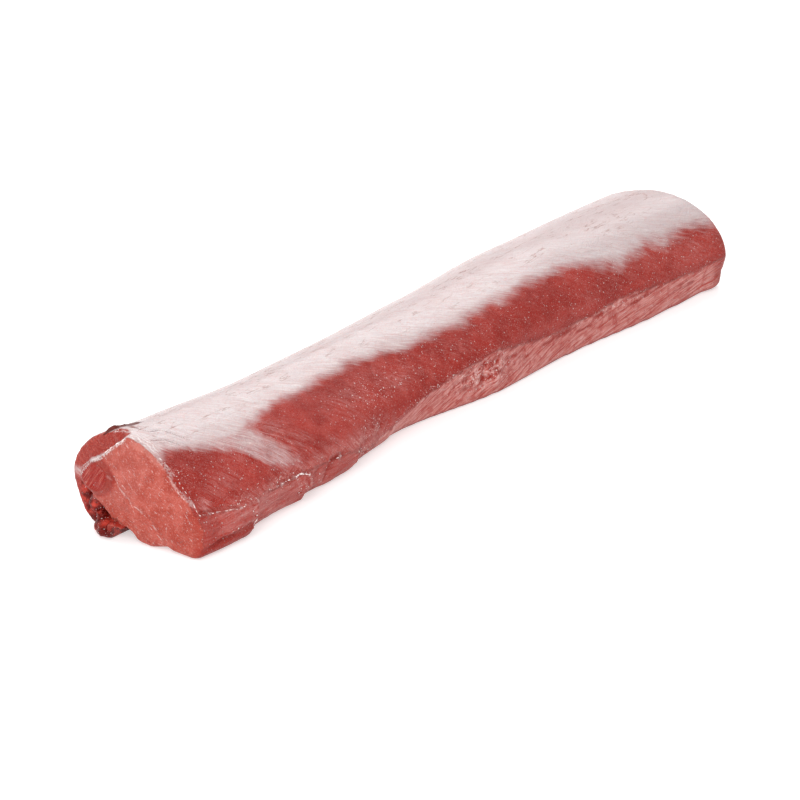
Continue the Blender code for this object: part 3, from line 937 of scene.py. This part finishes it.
@dataclass(frozen=True)
class MeatFinish:
    """Raw venison: red flesh, paler cut faces, a dark wet hollow and pale silverskin, whose paleness is
    partly a painted reflection.
    """

    name: str = "raw_venison_surface"
    deep: tuple = colour(0.265, 0.011, 0.005)
    flesh: tuple = colour(0.375, 0.026, 0.016)
    light_flesh: tuple = colour(0.45, 0.062, 0.047)
    film: tuple = colour(0.62, 0.30, 0.28)
    film_edge: tuple = colour(0.74, 0.45, 0.42)
    # The silverskin's pale colours are partly its own whiteness and partly a painted reflection of the soft
    # light above.
    pale: tuple = colour(0.64, 0.55, 0.555)
    pale_warm: tuple = colour(0.57, 0.42, 0.415)
    # Painted shade: the silverskin turns darker and pinker towards the thin end, where its reflection fades.
    thin_end_shade: tuple = colour(0.53, 0.43, 0.43)
    white: tuple = colour(0.86, 0.78, 0.76)
    face: tuple = colour(0.50, 0.108, 0.080)
    face_deep: tuple = colour(0.39, 0.058, 0.038)
    face_pale: tuple = colour(0.62, 0.24, 0.195)
    side: tuple = colour(0.32, 0.022, 0.012)
    side_light: tuple = colour(0.47, 0.078, 0.055)
    lobe: tuple = colour(0.29, 0.006, 0.0015)
    strip: tuple = colour(0.42, 0.055, 0.040)
    strip_pale: tuple = colour(0.66, 0.29, 0.26)
    wet: tuple = colour(0.13, 0.003, 0.001)
    wet_light: tuple = colour(0.52, 0.045, 0.028)
    crack: tuple = colour(0.21, 0.055, 0.038)
    scratch: tuple = colour(0.36, 0.20, 0.175)
    subsurface: float = 0.10
    scatter: float = 2.0 * MM
    bump: tuple = (0.9, 1.15 * MM)

    def flank(self, nodes: Nodes, grain: Grain) -> Socket:
        """The colour of the red flank under its thin film, with painted shadow and sheen."""
        place, mask = grain.place, grain.mask
        broad = nodes.noise(place, 0.045, 3.0)
        red = nodes.mix(nodes.between(broad, 0.35, 0.65), self.flesh, self.deep)
        red = nodes.tint(red, self.light_flesh, nodes.between(grain.middle, 0.42, 0.75), 0.7)
        # Deeper red, partly painted shadow.
        red = nodes.tint(red, self.deep, mask[Mask.SHADE], 0.75)
        # Paler streaks of film, partly painted sheen.
        haze = nodes.times(mask[Mask.HAZE], nodes.between(grain.long_streaks, 0.34, 0.66))
        haze = nodes.times(haze, nodes.between(grain.fine_streaks, 0.30, 0.60))
        red = nodes.mix(haze, red, self.film)
        red = nodes.tint(red, self.film, nodes.between(grain.fine_streaks, 0.60, 0.80), 0.12)
        frost = nodes.between(nodes.noise(place, 1.5, 2.0), 0.55, 0.66)
        frost = nodes.times(frost, nodes.math("MULTIPLY_ADD", mask[Mask.GLINT], 0.35, 0.20))
        red = nodes.mix(frost, red, self.film)
        red = nodes.tint(red, self.deep, nodes.between(nodes.noise(place, 1.1, 3.0), 0.46, 0.34), 0.45)
        return nodes.mix(nodes.times(mask[Mask.GLINT], grain.hairs), red, self.strip_pale)

    def scratches(self, nodes: Nodes, grain: Grain) -> Socket:
        """Where fine dark scratches cross the silverskin, from 0 to 1."""
        marks = nodes.noise(nodes.scaled(grain.place, (0.016, 0.11, 0.11)), 1.0, 5.0, 0.6)
        marks = nodes.between(nodes.math("ABSOLUTE", nodes.math("SUBTRACT", marks, 0.5)), 0.016, 0.004)
        here = nodes.between(nodes.noise(grain.place, 0.08, 2.0), 0.42, 0.56)
        return nodes.times(marks, here, nodes.between(grain.mask[Mask.SILVER], 5.0, 16.0))

    def silverskin(self, nodes: Nodes, grain: Grain) -> Socket:
        """The colour of the silverskin: whiter away from its edge, with pink streaks and fine hairs. Its
        paleness and white streaks are partly a painted reflection of the soft light above.
        """
        place, silver = grain.place, grain.mask[Mask.SILVER]
        inner = nodes.times(nodes.between(silver, 0.0, 18.0), 0.45)
        pink = nodes.math("SUBTRACT", nodes.between(grain.long_streaks, 0.38, 0.68), inner, clamp=True)
        pale = nodes.mix(pink, self.pale, self.pale_warm)
        parts = nodes.add("ShaderNodeSeparateXYZ", {0: place})
        for shade, pattern, low, high, strength in (
            (self.pale_warm, nodes.noise(place, 0.05, 3.0), 0.45, 0.70, 0.5),
            (self.pale_warm, nodes.noise(place, 0.32, 4.0, 0.65), 0.50, 0.72, 0.5),
            (self.film, nodes.noise(place, 0.8, 3.0), 0.44, 0.34, 0.45),
            (self.white, grain.fine_streaks, 0.48, 0.66, 0.5),
            (self.film, grain.fine_streaks, 0.42, 0.34, 0.45),
            # Painted shade, darker towards the thin end.
            (self.thin_end_shade, parts.outputs[0], 40.0, 230.0, 0.55),
            (self.pale_warm, silver, 16.0, 30.0, 0.35),
        ):
            pale = nodes.tint(pale, shade, nodes.between(pattern, low, high), strength)
        pale = nodes.tint(pale, self.scratch, self.scratches(nodes, grain), 0.8)
        return nodes.tint(pale, self.film, grain.hairs, 0.40)

    def cut(self, nodes: Nodes, grain: Grain) -> Socket:
        """The colour of the main muscle's cut face, with its flecks and its fibrous lobe."""
        mask = grain.mask
        middle = nodes.noise(grain.place, 0.13, 4.0)
        crumbs = nodes.noise(grain.place, 1.1, 3.0)
        flecks = FibreStreaks.place(nodes, grain.fibre, 3.4, 0.85)
        lines = grain.fine_streaks
        face = nodes.mix(nodes.between(middle, 0.36, 0.64), self.face, self.face_deep)
        for shade, pattern, low, high, strength in (
            (self.face_pale, crumbs, 0.52, 0.68, 0.50),
            (self.face_deep, crumbs, 0.46, 0.32, 0.55),
            (self.white, flecks, 0.61, 0.70, 0.45),
            (self.face_deep, flecks, 0.40, 0.30, 0.35),
        ):
            face = nodes.tint(face, shade, nodes.between(pattern, low, high), strength)
        face = nodes.tint(face, self.face_pale, mask[Mask.HAZE], 0.6)
        lobe = nodes.tint(self.lobe, self.face_deep, nodes.between(lines, 0.47, 0.56), 0.7)
        lobe = nodes.tint(lobe, self.face_pale, nodes.between(lines, 0.58, 0.66), 0.40)
        face = nodes.mix(mask[Mask.LOBE], face, lobe)
        # Darker on the face where the mask paints shadow round the lobe and in pits.
        return nodes.tint(face, self.lobe, mask[Mask.SHADE], 0.6)

    def trimmed(self, nodes: Nodes, grain: Grain, torn_dark: object) -> Socket:
        """The colour of trimmed meat, streaked, and blotched where it is torn."""
        mask, bands = grain.mask, grain.bands
        torn_light = nodes.between(grain.torn, 0.50, 0.62)
        torn_light = nodes.math("MULTIPLY", mask[Mask.GLINT], torn_light, clamp=True)
        strip = nodes.mix(nodes.between(bands, 0.32, 0.70), self.strip, self.strip_pale)
        strip = nodes.tint(strip, self.white, nodes.between(grain.fine_streaks, 0.54, 0.70), 0.35)
        strip = nodes.tint(strip, self.flesh, nodes.between(grain.middle, 0.50, 0.66), 0.6)
        strip = nodes.tint(strip, self.deep, nodes.between(bands, 0.40, 0.30), 0.5)
        strip = nodes.tint(strip, self.film_edge, torn_light, 0.75)
        strip = nodes.tint(strip, self.deep, torn_dark, 0.9)
        # Deeper red, partly painted shadow under the flaps and at the table.
        return nodes.tint(strip, self.deep, mask[Mask.SHADE], 0.7)

    def rim_layers(self, nodes: Nodes, grain: Grain, body: object) -> Socket:
        """Thin layers of film that end one behind another at the thick end's rim."""
        parts = nodes.add("ShaderNodeSeparateXYZ", {0: grain.place})
        along = nodes.math("SUBTRACT", parts.outputs[0], Places.THICK_END)
        along = nodes.math("ADD", along, nodes.swing(nodes.noise(grain.place, 0.22, 3.0), 5.0))
        ring = nodes.math("PINGPONG", along, 1.1)
        there = nodes.times(nodes.between(along, 7.0, 3.5), nodes.between(grain.mask[Mask.SILVER], 0.5, 5.0))
        body = nodes.tint(body, self.white, nodes.times(nodes.between(ring, 0.75, 1.0), there), 0.7)
        return nodes.tint(body, self.side_light, nodes.times(nodes.between(ring, 0.25, 0.0), there), 0.40)

    def cover(self, nodes: Nodes, grain: Grain) -> Socket:
        """How far the pale silverskin, partly a painted reflection, covers each place, with an edge that
        frays along the fibres.
        """
        shift = nodes.swing(nodes.noise(grain.place, 0.055, 2.0), 14.0)
        shift = nodes.math("ADD", shift, nodes.swing(grain.long_streaks, 7.0))
        shift = nodes.math("ADD", shift, nodes.swing(grain.fine_streaks, 6.0))
        return nodes.between(nodes.math("ADD", grain.mask[Mask.SILVER], shift), -5.0, 6.0)

    def body(self, nodes: Nodes, grain: Grain, cover: object) -> Socket:
        """The whole surface's colour.

        Args:
            nodes: The material's nodes.
            grain: The shared patterns.
            cover: How far silverskin covers each place.

        Returns:
            Its colour.
        """
        mask = grain.mask
        body = nodes.mix(cover, self.flank(nodes, grain), self.silverskin(nodes, grain))
        body = nodes.mix(nodes.math("SUBTRACT", mask[Mask.SHADE], 1.0, clamp=True), body, self.crack)
        body = self.rim_layers(nodes, grain, body)
        torn_dark = nodes.between(grain.torn, 0.46, 0.36)
        torn_dark = nodes.math("MULTIPLY", mask[Mask.GLINT], torn_dark, clamp=True)
        body = nodes.tint(body, self.deep, torn_dark, 0.6)
        body = nodes.mix(mask[Mask.STRIP], body, self.trimmed(nodes, grain, torn_dark))
        body = nodes.mix(mask[Mask.FACE], body, self.cut(nodes, grain))
        side = nodes.mix(nodes.between(grain.fine, 0.45, 0.72), self.side, self.side_light)
        body = nodes.mix(mask[Mask.SIDE], body, side)
        wet = nodes.mix(nodes.between(grain.middle, 0.44, 0.64), self.wet, self.wet_light)
        body = nodes.mix(mask[Mask.WET], body, wet)
        edge = nodes.times(mask[Mask.EDGE], nodes.between(grain.fine, 0.36, 0.56))
        body = nodes.mix(edge, body, self.white)
        # Painted glints: white dots standing for wet highlights, thickest where the glint mask says.
        sparkle = nodes.times(grain.dots, nodes.math("MULTIPLY_ADD", mask[Mask.GLINT], 1.0, 0.18))
        return nodes.mix(sparkle, body, self.white)

    def relief(self, nodes: Nodes, grain: Grain) -> Socket:
        """The height of the finest fibres, dots and grooves."""
        relief = nodes.math("MULTIPLY_ADD", grain.fine_streaks, 0.4, nodes.times(grain.long_streaks, 0.5))
        relief = nodes.math("MULTIPLY_ADD", grain.fine, 1.3, relief)
        relief = nodes.math("MULTIPLY_ADD", grain.dots, 0.4, relief)
        grooves = nodes.times(nodes.math("SUBTRACT", grain.bands, 0.5), grain.mask[Mask.STRIP])
        return nodes.math("MULTIPLY_ADD", grooves, 1.1, relief)

    def material(self) -> bpy.types.Material:
        """Build the material."""
        made, nodes = new_material(self.name)
        grain = Grain.of(nodes)
        cover = self.cover(nodes, grain)
        rough = nodes.math("MULTIPLY_ADD", grain.fine, 0.30, 0.30)
        rough = nodes.math("SUBTRACT", rough, nodes.times(grain.mask[Mask.WET], 0.30), clamp=True)
        nodes.surface({
            "Base Color": self.body(nodes, grain, cover), "Roughness": rough,
            "Subsurface Weight": self.subsurface, "Subsurface Radius": (1.0, 0.35, 0.25),
            "Subsurface Scale": self.scatter, "IOR": 1.40, "Specular IOR Level": 0.15,
            "Coat Weight": nodes.math("MULTIPLY_ADD", cover, 0.30, 0.09), "Coat Roughness": 0.25,
        }, self.bump, self.relief(nodes, grain))
        return made


@dataclass(frozen=True)
class FatAndGlintFinish:
    """Moist white fat and torn silverskin; its white flecks also stand for painted glints."""

    name: str = "white_fat_and_glints"
    pale: tuple = colour(0.90, 0.80, 0.78)
    pink: tuple = colour(0.66, 0.32, 0.28)
    lip: tuple = colour(0.11, 0.014, 0.009)
    subsurface: float = 0.15
    scatter: float = 1.0 * MM
    bump: tuple = (0.5, 0.4 * MM)

    def material(self) -> bpy.types.Material:
        """Build the material. The attribute dark turns it to a dark brown lip."""
        made, nodes = new_material(self.name)
        place = nodes.place()
        patches = nodes.noise(place, 0.35, 3.0)
        strands = FibreStreaks.place(nodes, place, 6.0, 0.8)
        dots = Specks.place(nodes, place, 1.6, 0.7)
        body = nodes.mix(nodes.between(patches, 0.46, 0.70), self.pale, self.pink)
        body = nodes.tint(body, self.pink, nodes.between(strands, 0.55, 0.75), 0.4)
        body = nodes.mix(nodes.attribute("dark"), body, self.lip)
        nodes.surface({
            "Base Color": body, "Roughness": nodes.math("MULTIPLY_ADD", patches, 0.3, 0.2),
            "Specular IOR Level": 0.25, "Subsurface Weight": self.subsurface,
            "Subsurface Radius": (1.0, 0.5, 0.4), "Subsurface Scale": self.scatter,
        }, self.bump, nodes.math("MULTIPLY_ADD", dots, 0.5, strands))
        return made


# Small pieces on the meat


def growing_tree(name: str, inputs: tuple) -> tuple[Nodes, bpy.types.Node, bpy.types.Node]:
    """A Geometry Nodes tree with named inputs.

    Args:
        name: The tree's name.
        inputs: A name and a socket type for each input after the geometry.

    Returns:
        The tree's nodes, its input node and its output node.
    """
    tree = bpy.data.node_groups.new(name, "GeometryNodeTree")
    tree.interface.new_socket("Geometry", in_out="INPUT", socket_type="NodeSocketGeometry")
    for label, kind in inputs:
        tree.interface.new_socket(label, in_out="INPUT", socket_type=kind)
    tree.interface.new_socket("Geometry", in_out="OUTPUT", socket_type="NodeSocketGeometry")
    nodes = Nodes(tree)
    return nodes, nodes.add("NodeGroupInput"), nodes.add("NodeGroupOutput")


def deliver(nodes: Nodes, given: bpy.types.Node, made: bpy.types.Node, geometry: object) -> None:
    """Turn a tree's geometry into real faces with its material and pass it on."""
    real = nodes.add("GeometryNodeRealizeInstances", {0: geometry})
    inputs = {"Geometry": real.outputs[0], "Material": given.outputs["Material"]}
    coat = nodes.add("GeometryNodeSetMaterial", inputs)
    nodes.feed(made.inputs["Geometry"], coat.outputs[0])


def grow(name: str, source: bpy.types.ID, tree: bpy.types.NodeTree, values: dict) -> bpy.types.Object:
    """Run a tree on a mesh or curve and keep what it makes as a plain mesh.

    Args:
        name: The new piece's name.
        source: The mesh or curve that the tree starts from.
        tree: The tree.
        values: The tree's inputs by name.

    Returns:
        The new piece.
    """
    carrier = add_object(name + "_carrier", source)
    modifier = carrier.modifiers.new("grow", "NODES")
    modifier.node_group = tree
    for item in tree.interface.items_tree:
        if item.item_type == "SOCKET" and item.in_out == "INPUT" and item.name in values:
            modifier[item.identifier] = values[item.name]
    mesh = shaped(carrier)
    carrier.modifiers.remove(modifier)
    bpy.data.objects.remove(carrier)
    mesh.name = name
    piece = add_object(name, mesh)
    LOG.info("%s: %d faces", name, len(mesh.polygons))
    return piece


@dataclass
class Scatter:
    """White flecks laid along the meat's fibres, partly fat and partly painted glints, and shreds of fibre.
    """

    meat: bpy.types.Object
    material: bpy.types.Material
    # A grain's size as a share of the length and width given.
    smallest: tuple = (0.35, 0.5, 0.4)
    largest: tuple = (1.0, 1.0, 0.9)

    def tree(self) -> bpy.types.NodeTree:
        """The tree that scatters them where a mask says."""
        nodes, given, made = growing_tree("scatter_on_meat", (
            ("Mask", "NodeSocketString"), ("Density", "NodeSocketFloat"), ("Length", "NodeSocketFloat"),
            ("Width", "NodeSocketFloat"), ("Seed", "NodeSocketInt"), ("Material", "NodeSocketMaterial"),
        ))
        mask = nodes.add(
            "GeometryNodeInputNamedAttribute", {"Name": given.outputs["Mask"]}, data_type="FLOAT"
        )
        density = nodes.times(nodes.math("POWER", mask.outputs[0], 2.0), given.outputs["Density"])
        inputs = {
            "Mesh": given.outputs["Geometry"], "Density": density, "Seed": given.outputs["Seed"],
        }
        points = nodes.add("GeometryNodeDistributePointsOnFaces", inputs, distribute_method="RANDOM")
        run = nodes.add("GeometryNodeInputNamedAttribute", {"Name": "run"}, data_type="FLOAT_VECTOR")
        inputs = {"Rotation": points.outputs["Rotation"], "Vector": run.outputs[0]}
        upright = nodes.add("FunctionNodeAlignRotationToVector", inputs, axis="X")
        inputs = {0: self.smallest, 1: self.largest, "Seed": given.outputs["Seed"]}
        chance = nodes.add("FunctionNodeRandomValue", inputs, data_type="FLOAT_VECTOR")
        width = given.outputs["Width"]
        sizes = nodes.add("ShaderNodeCombineXYZ", {0: given.outputs["Length"], 1: width, 2: width})
        grain = nodes.add("GeometryNodeMeshIcoSphere", {"Radius": 0.5, "Subdivisions": 1})
        placed = nodes.add("GeometryNodeInstanceOnPoints", {
            "Points": points.outputs["Points"], "Instance": grain.outputs["Mesh"],
            "Rotation": upright.outputs[0], "Scale": nodes.scaled(chance.outputs[0], sizes.outputs[0]),
        })
        deliver(nodes, given, made, placed.outputs[0])
        return nodes.tree

    def build(self) -> list:
        """Scatter the flecks and the shreds."""
        tree = self.tree()
        pieces = []
        for name, mask, density, length, width, seed in (
            # Flecks of white fat that also stand for painted glints.
            ("fat_flecks", Mask.GLINT.value, 60000.0, 1.0 * MM, 0.38 * MM, 3),
            ("fibre_shreds", Mask.EDGE.value, 900000.0, 1.6 * MM, 0.34 * MM, 5),
        ):
            pieces.append(grow(name, self.meat.data.copy(), tree, {
                "Mask": mask, "Density": density, "Length": length, "Width": width, "Seed": seed,
                "Material": self.material,
            }))
        return pieces


@dataclass
class RaggedEdges:
    """Rolled white edges of silverskin that follow the seam, the rim and the flaps; along the flaps their
    white is partly a painted highlight.
    """

    meat: bpy.types.Object
    material: bpy.types.Material
    marks: Landmarks = field(default_factory=Landmarks)
    spacing: float = 0.8 * MM
    wander: float = 0.9 * MM
    thinnest: float = 0.08 * MM
    # How fine the changes of the cords' width and of their surface are, in waves a metre.
    swell: float = 420.0
    roughness: float = 900.0

    def tree(self) -> bpy.types.NodeTree:
        """The tree that turns paths into ragged cords."""
        nodes, given, made = growing_tree("ragged_edge", (
            ("Spacing", "NodeSocketFloat"), ("Radius", "NodeSocketFloat"), ("Wander", "NodeSocketFloat"),
            ("Material", "NodeSocketMaterial"),
        ))
        inputs = {"Curve": given.outputs["Geometry"], "Length": given.outputs["Spacing"]}
        even = nodes.add("GeometryNodeResampleCurve", inputs, mode="LENGTH")
        spot = nodes.add("GeometryNodeInputPosition").outputs[0]
        swell = nodes.add("ShaderNodeTexNoise", {"Vector": spot, "Scale": self.swell})
        radius = nodes.times(nodes.between(swell.outputs["Fac"], 0.32, 0.68), given.outputs["Radius"])
        ring = nodes.add("GeometryNodeCurvePrimitiveCircle", {"Resolution": 7, "Radius": 1.0})
        cord = nodes.add("GeometryNodeCurveToMesh", {
            "Curve": even.outputs["Curve"], "Profile Curve": ring.outputs["Curve"],
            "Scale": nodes.math("MAXIMUM", radius, self.thinnest), "Fill Caps": True,
        })
        rough = nodes.add("ShaderNodeTexNoise", {"Vector": spot, "Scale": self.roughness})
        inputs = {0: rough.outputs["Color"], 1: (0.5, 0.5, 0.5)}
        shift = nodes.add("ShaderNodeVectorMath", inputs, operation="SUBTRACT")
        inputs = {0: shift.outputs[0], "Scale": given.outputs["Wander"]}
        far = nodes.add("ShaderNodeVectorMath", inputs, operation="SCALE")
        inputs = {"Geometry": cord.outputs["Mesh"], "Offset": far.outputs[0]}
        deliver(nodes, given, made, nodes.add("GeometryNodeSetPosition", inputs).outputs[0])
        return nodes.tree

    def paths(self, lines: tuple, sink: float) -> bpy.types.Curve:
        """These lines laid on the meat, as one curve.

        Args:
            lines: Corners in distance along, front and height, in millimetres.
            sink: How deep in the meat the line lies, in metres.

        Returns:
            A curve with one spline for each line.
        """
        curve = bpy.data.curves.new("paths", "CURVE")
        curve.dimensions = "3D"
        for line in lines:
            spots = []
            for start, end in zip(line, line[1:]):
                spots += [np.array(start) + (np.array(end) - np.array(start)) * k / 6 for k in range(6)]
            spots.append(np.array(line[-1]))
            spline = curve.splines.new("POLY")
            spline.points.add(len(spots) - 1)
            for point, (along, front, up) in zip(spline.points, spots):
                _, place, normal, _ = self.meat.closest_point_on_mesh(Places.point(along, front, up))
                point.co = (*(place - normal * sink), 1.0)
        return curve

    def build(self) -> list:
        """Make the edges."""
        tree = self.tree()
        marks = self.marks
        seam = tuple((-1.5, front, up) for _, front, up in marks.seam)
        rim = tuple((0.5, front, up) for _, front, up in marks.rim_dots)
        pieces = []
        for name, lines, radius, sink in (
            ("seam_edge", (seam,), 0.46 * MM, -0.05 * MM),
            ("rim_edge", (rim, marks.rim_film), 0.24 * MM, 0.12 * MM),
            # Along the flaps the white cords are partly painted highlight.
            ("flap_edges", marks.flap_lines, 0.50 * MM, 0.30 * MM),
        ):
            pieces.append(grow(name, self.paths(lines, sink), tree, {
                "Spacing": self.spacing, "Radius": radius, "Wander": self.wander, "Material": self.material,
            }))
        return pieces


@dataclass
class LiftedLip:
    """A lip of silverskin that has lifted off the thick end's crown, its free edge dark brown."""

    meat: bpy.types.Object
    material: bpy.types.Material
    marks: Landmarks = field(default_factory=Landmarks)
    width: float = 3.4 * MM
    lift: float = 1.7 * MM
    sink: float = 0.3 * MM
    thickness: float = 0.45 * MM
    steps_along: int = 60
    steps_across: int = 6

    def build(self) -> bpy.types.Object:
        """Make the lip as one closed sheet.

        Returns:
            The piece.
        """
        line = np.array(self.marks.lifted_lip, float)
        share = np.linspace(0, len(line) - 1, self.steps_along + 1)
        spine = np.stack([np.interp(share, np.arange(len(line)), line[:, k]) for k in range(3)], axis=1)
        mesh = bmesh.new()
        rows = []
        wave = lattice_noise(spine / (5, 5, 5), 81)
        for place, wobble, way in zip(spine, wave, np.gradient(spine, axis=0)):
            _, foot, normal, _ = self.meat.closest_point_on_mesh(Places.point(*place))
            run = Vector((way[0], -way[1], way[2])).normalized()
            across = normal.cross(run).normalized()
            end = min(1.0, 4 * min(len(rows), self.steps_along - len(rows)) / self.steps_along)
            top = []
            for k in range(self.steps_across + 1):
                reach = k / self.steps_across
                height = self.lift * end * (1 + 0.6 * wobble) * reach**1.5 - self.sink
                out = across * self.width * end * (reach - 0.4) * (1 + 0.4 * wobble)
                top.append(foot + out + normal * height)
            under = [spot - normal * self.thickness * (1.2 - k / 8) for k, spot in enumerate(top)]
            rows.append([mesh.verts.new(spot) for spot in top + under])
        count = self.steps_across + 1
        for first, second in zip(rows, rows[1:]):
            # Neighbours round a row: along the top, back along the underside, and at both edges.
            pairs = [(k, k + 1) for k in range(count - 1)]
            pairs += [(count + k + 1, count + k) for k in range(count - 1)]
            pairs += [(count, 0), (count - 1, 2 * count - 1)]
            for one, other in pairs:
                mesh.faces.new((first[one], second[one], second[other], first[other]))
        for row, flip in ((rows[0], False), (rows[-1], True)):
            ring = row[:count] + row[:count - 1:-1]
            mesh.faces.new(ring[::-1] if flip else ring)
        bmesh.ops.recalc_face_normals(mesh, faces=mesh.faces)
        data = bpy.data.meshes.new("lifted_lip")
        mesh.to_mesh(data)
        mesh.free()
        dark = data.attributes.new("dark", "FLOAT", "POINT")
        reach = (np.arange(len(data.vertices)) % count) / (count - 1)
        dark.data.foreach_set("value", ease(reach, 0.1, 0.5).astype(np.float32))
        for face in data.polygons:
            face.use_smooth = True
        data.materials.append(self.material)
        lip = add_object("lifted_lip", data)
        LOG.info("lifted_lip: %d faces", len(data.polygons))
        return lip


# The studio


@dataclass
class Studio:
    """A pale floor, soft lights and the camera."""

    azimuth: float = -55.3
    elevation: float = 22.0
    distance: float = 2.6
    lens: float = 208.0
    sensor: float = 36.0
    aim: tuple = (-0.06705, -0.0362, 0.03)
    floor_size: float = 8.0
    floor_glow: float = 0.48
    sky_glow: float = 0.77

    def camera(self) -> None:
        """Place the camera."""
        turn, rise = math.radians(self.azimuth), math.radians(self.elevation)
        back = Vector((math.sin(turn) * math.cos(rise), -math.cos(turn) * math.cos(rise), math.sin(rise)))
        data = bpy.data.cameras.new("camera")
        data.lens = self.lens
        data.sensor_width = self.sensor
        camera = add_object("camera", data)
        camera.location = Vector(self.aim) + back * self.distance
        camera.rotation_euler = back.to_track_quat("Z", "Y").to_euler()
        bpy.context.scene.camera = camera

    def light(self, name: str, place: tuple, size: float, power: float, aim: tuple = (0, 0, 0.03)) -> None:
        """A soft square lamp.

        Args:
            name: What to call it.
            place: Where it hangs, in metres.
            size: The length of its sides, in metres.
            power: Its power in watts.
            aim: The point that it faces.
        """
        data = bpy.data.lights.new(name, "AREA")
        data.shape = "SQUARE"
        data.size = size
        data.energy = power
        lamp = add_object(name, data)
        lamp.location = place
        lamp.rotation_euler = (Vector(place) - Vector(aim)).to_track_quat("Z", "Y").to_euler()

    def floor(self) -> None:
        """A wide pale floor."""
        mesh = bmesh.new()
        bmesh.ops.create_grid(mesh, x_segments=1, y_segments=1, size=self.floor_size)
        data = bpy.data.meshes.new("floor")
        mesh.to_mesh(data)
        mesh.free()
        floor = add_object("floor", data)
        white = bpy.data.materials.new("floor_white")
        white.use_nodes = True
        shader = white.node_tree.nodes["Principled BSDF"]
        for name, value in {
            "Base Color": colour(0.70, 0.70, 0.70), "Roughness": 0.9, "Specular IOR Level": 0.1,
            "Emission Color": colour(1.0, 1.0, 1.0), "Emission Strength": self.floor_glow,
        }.items():
            shader.inputs[name].default_value = value
        data.materials.append(white)

    def sky(self) -> None:
        """Even light from all round."""
        world = bpy.data.worlds.new("studio")
        world.use_nodes = True
        shade = world.node_tree.nodes["Background"]
        shade.inputs["Color"].default_value = colour(1.0, 1.0, 1.0)
        shade.inputs["Strength"].default_value = self.sky_glow
        bpy.context.scene.world = world

    def build(self) -> None:
        """Set up the studio."""
        self.camera()
        self.floor()
        self.sky()
        self.light("key", (-1.30, -0.60, 0.95), 0.9, 14.8)
        self.light("back_box", (0.80, 0.62, 1.00), 1.1, 11.0, (-0.14, 0, 0.03))
        self.light("behind", (-0.30, 1.50, 0.70), 1.0, 4.0)
        bpy.context.scene.view_settings.view_transform = "Standard"
        LOG.info("studio ready")


def main() -> None:
    """Build the striploin and the studio."""
    loin = Loin().build()
    loin.data.materials.append(MeatFinish().material())
    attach(loin, BODY)
    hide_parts(NODE)
    fat = FatAndGlintFinish().material()
    pieces = Scatter(loin, fat).build() + RaggedEdges(loin, fat).build() + [LiftedLip(loin, fat).build()]
    for piece in pieces:
        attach(piece, BODY)
    Studio().build()
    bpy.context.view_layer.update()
    LOG.info("sizes written")


if __name__ == "__main__":
    main()
